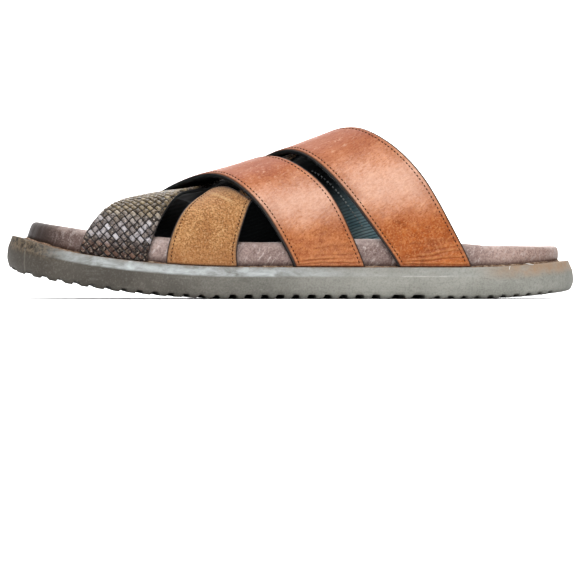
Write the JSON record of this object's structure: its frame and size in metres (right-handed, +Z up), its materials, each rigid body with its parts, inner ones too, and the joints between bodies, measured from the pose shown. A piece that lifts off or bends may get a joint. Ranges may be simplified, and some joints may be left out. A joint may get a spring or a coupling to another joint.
{
  "type": "slide sandal",
  "caption": "Criss-cross slide sandal for the right foot: woven, suede and smooth leather straps over a rimmed leather footbed on a notched rubber outsole.",
  "frame": {"origin": "middle of the sandal's bounding box, on the floor plane under the tread", "axes": "+X along the foot towards the heel, +Y towards the outer side of the foot, +Z up"},
  "size_m": [0.2936, 0.1056, 0.0872],
  "materials": {
    "outsole": "matte, worn, dusty towards the heel",
    "footbed": "satin, mauve brown, rubbed paler along the rim",
    "insole": "matte, dark brown",
    "upper": "satin cognac leather on the two upper straps, dark woven leather and tan suede on the two lower ones"
  },
  "bodies": {
    "root": {"outsole": "outsole", "footbed": "footbed", "insole": "insole", "upper": "upper"}
  },
  "joints": []
}
